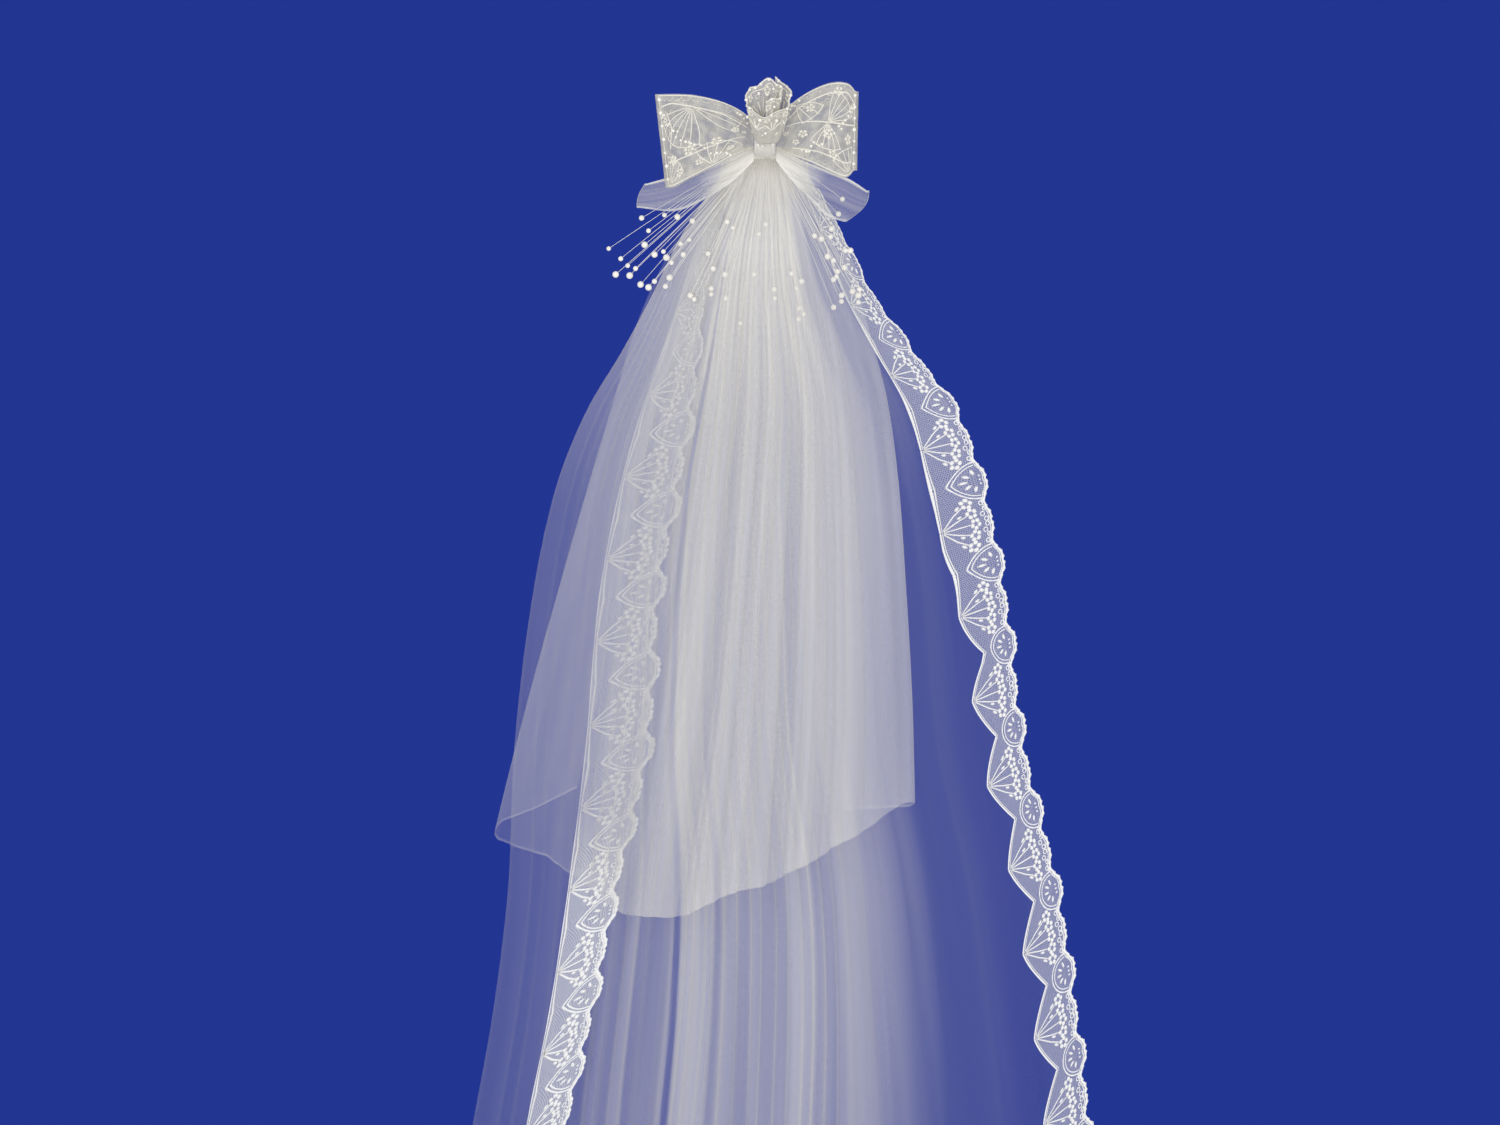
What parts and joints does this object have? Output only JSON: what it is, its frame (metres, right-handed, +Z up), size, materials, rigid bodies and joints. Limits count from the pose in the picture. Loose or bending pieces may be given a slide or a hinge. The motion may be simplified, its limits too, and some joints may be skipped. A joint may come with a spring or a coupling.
{
  "type": "two-tier bridal veil with lace bow comb",
  "caption": "Two-tier gathered tulle veil with a scalloped lace edge, a lace bow, tulle loops and pearl sprays on a hair comb",
  "frame": {"origin": "the middle of the comb's spine, where the hair holds it", "axes": "front of the veil faces -Y, +X to the viewer's right from the front, +Z up, and the veil hangs towards -Z"},
  "size_m": [0.7143, 0.1184, 1.4566],
  "materials": {
    "comb_plastic": "clear-white moulded plastic",
    "tulle": "sheer white nylon tulle",
    "edging_lace": "white embroidered net",
    "bow_lace": "stiffened ivory embroidered net",
    "pearl": "pearlised beads on clear-white wire"
  },
  "bodies": {
    "root": {"comb": "comb_plastic", "long_tier": "tulle", "short_tier": "tulle", "pouf_left": "tulle", "pouf_right": "tulle", "lace_left": "edging_lace", "lace_right": "edging_lace", "lace_hem": "edging_lace", "pearls_left": "pearl", "pearls_right": "pearl", "bow_left": "bow_lace", "bow_right": "bow_lace", "bow_curl": "bow_lace", "bow_knot": "bow_lace"}
  },
  "joints": []
}
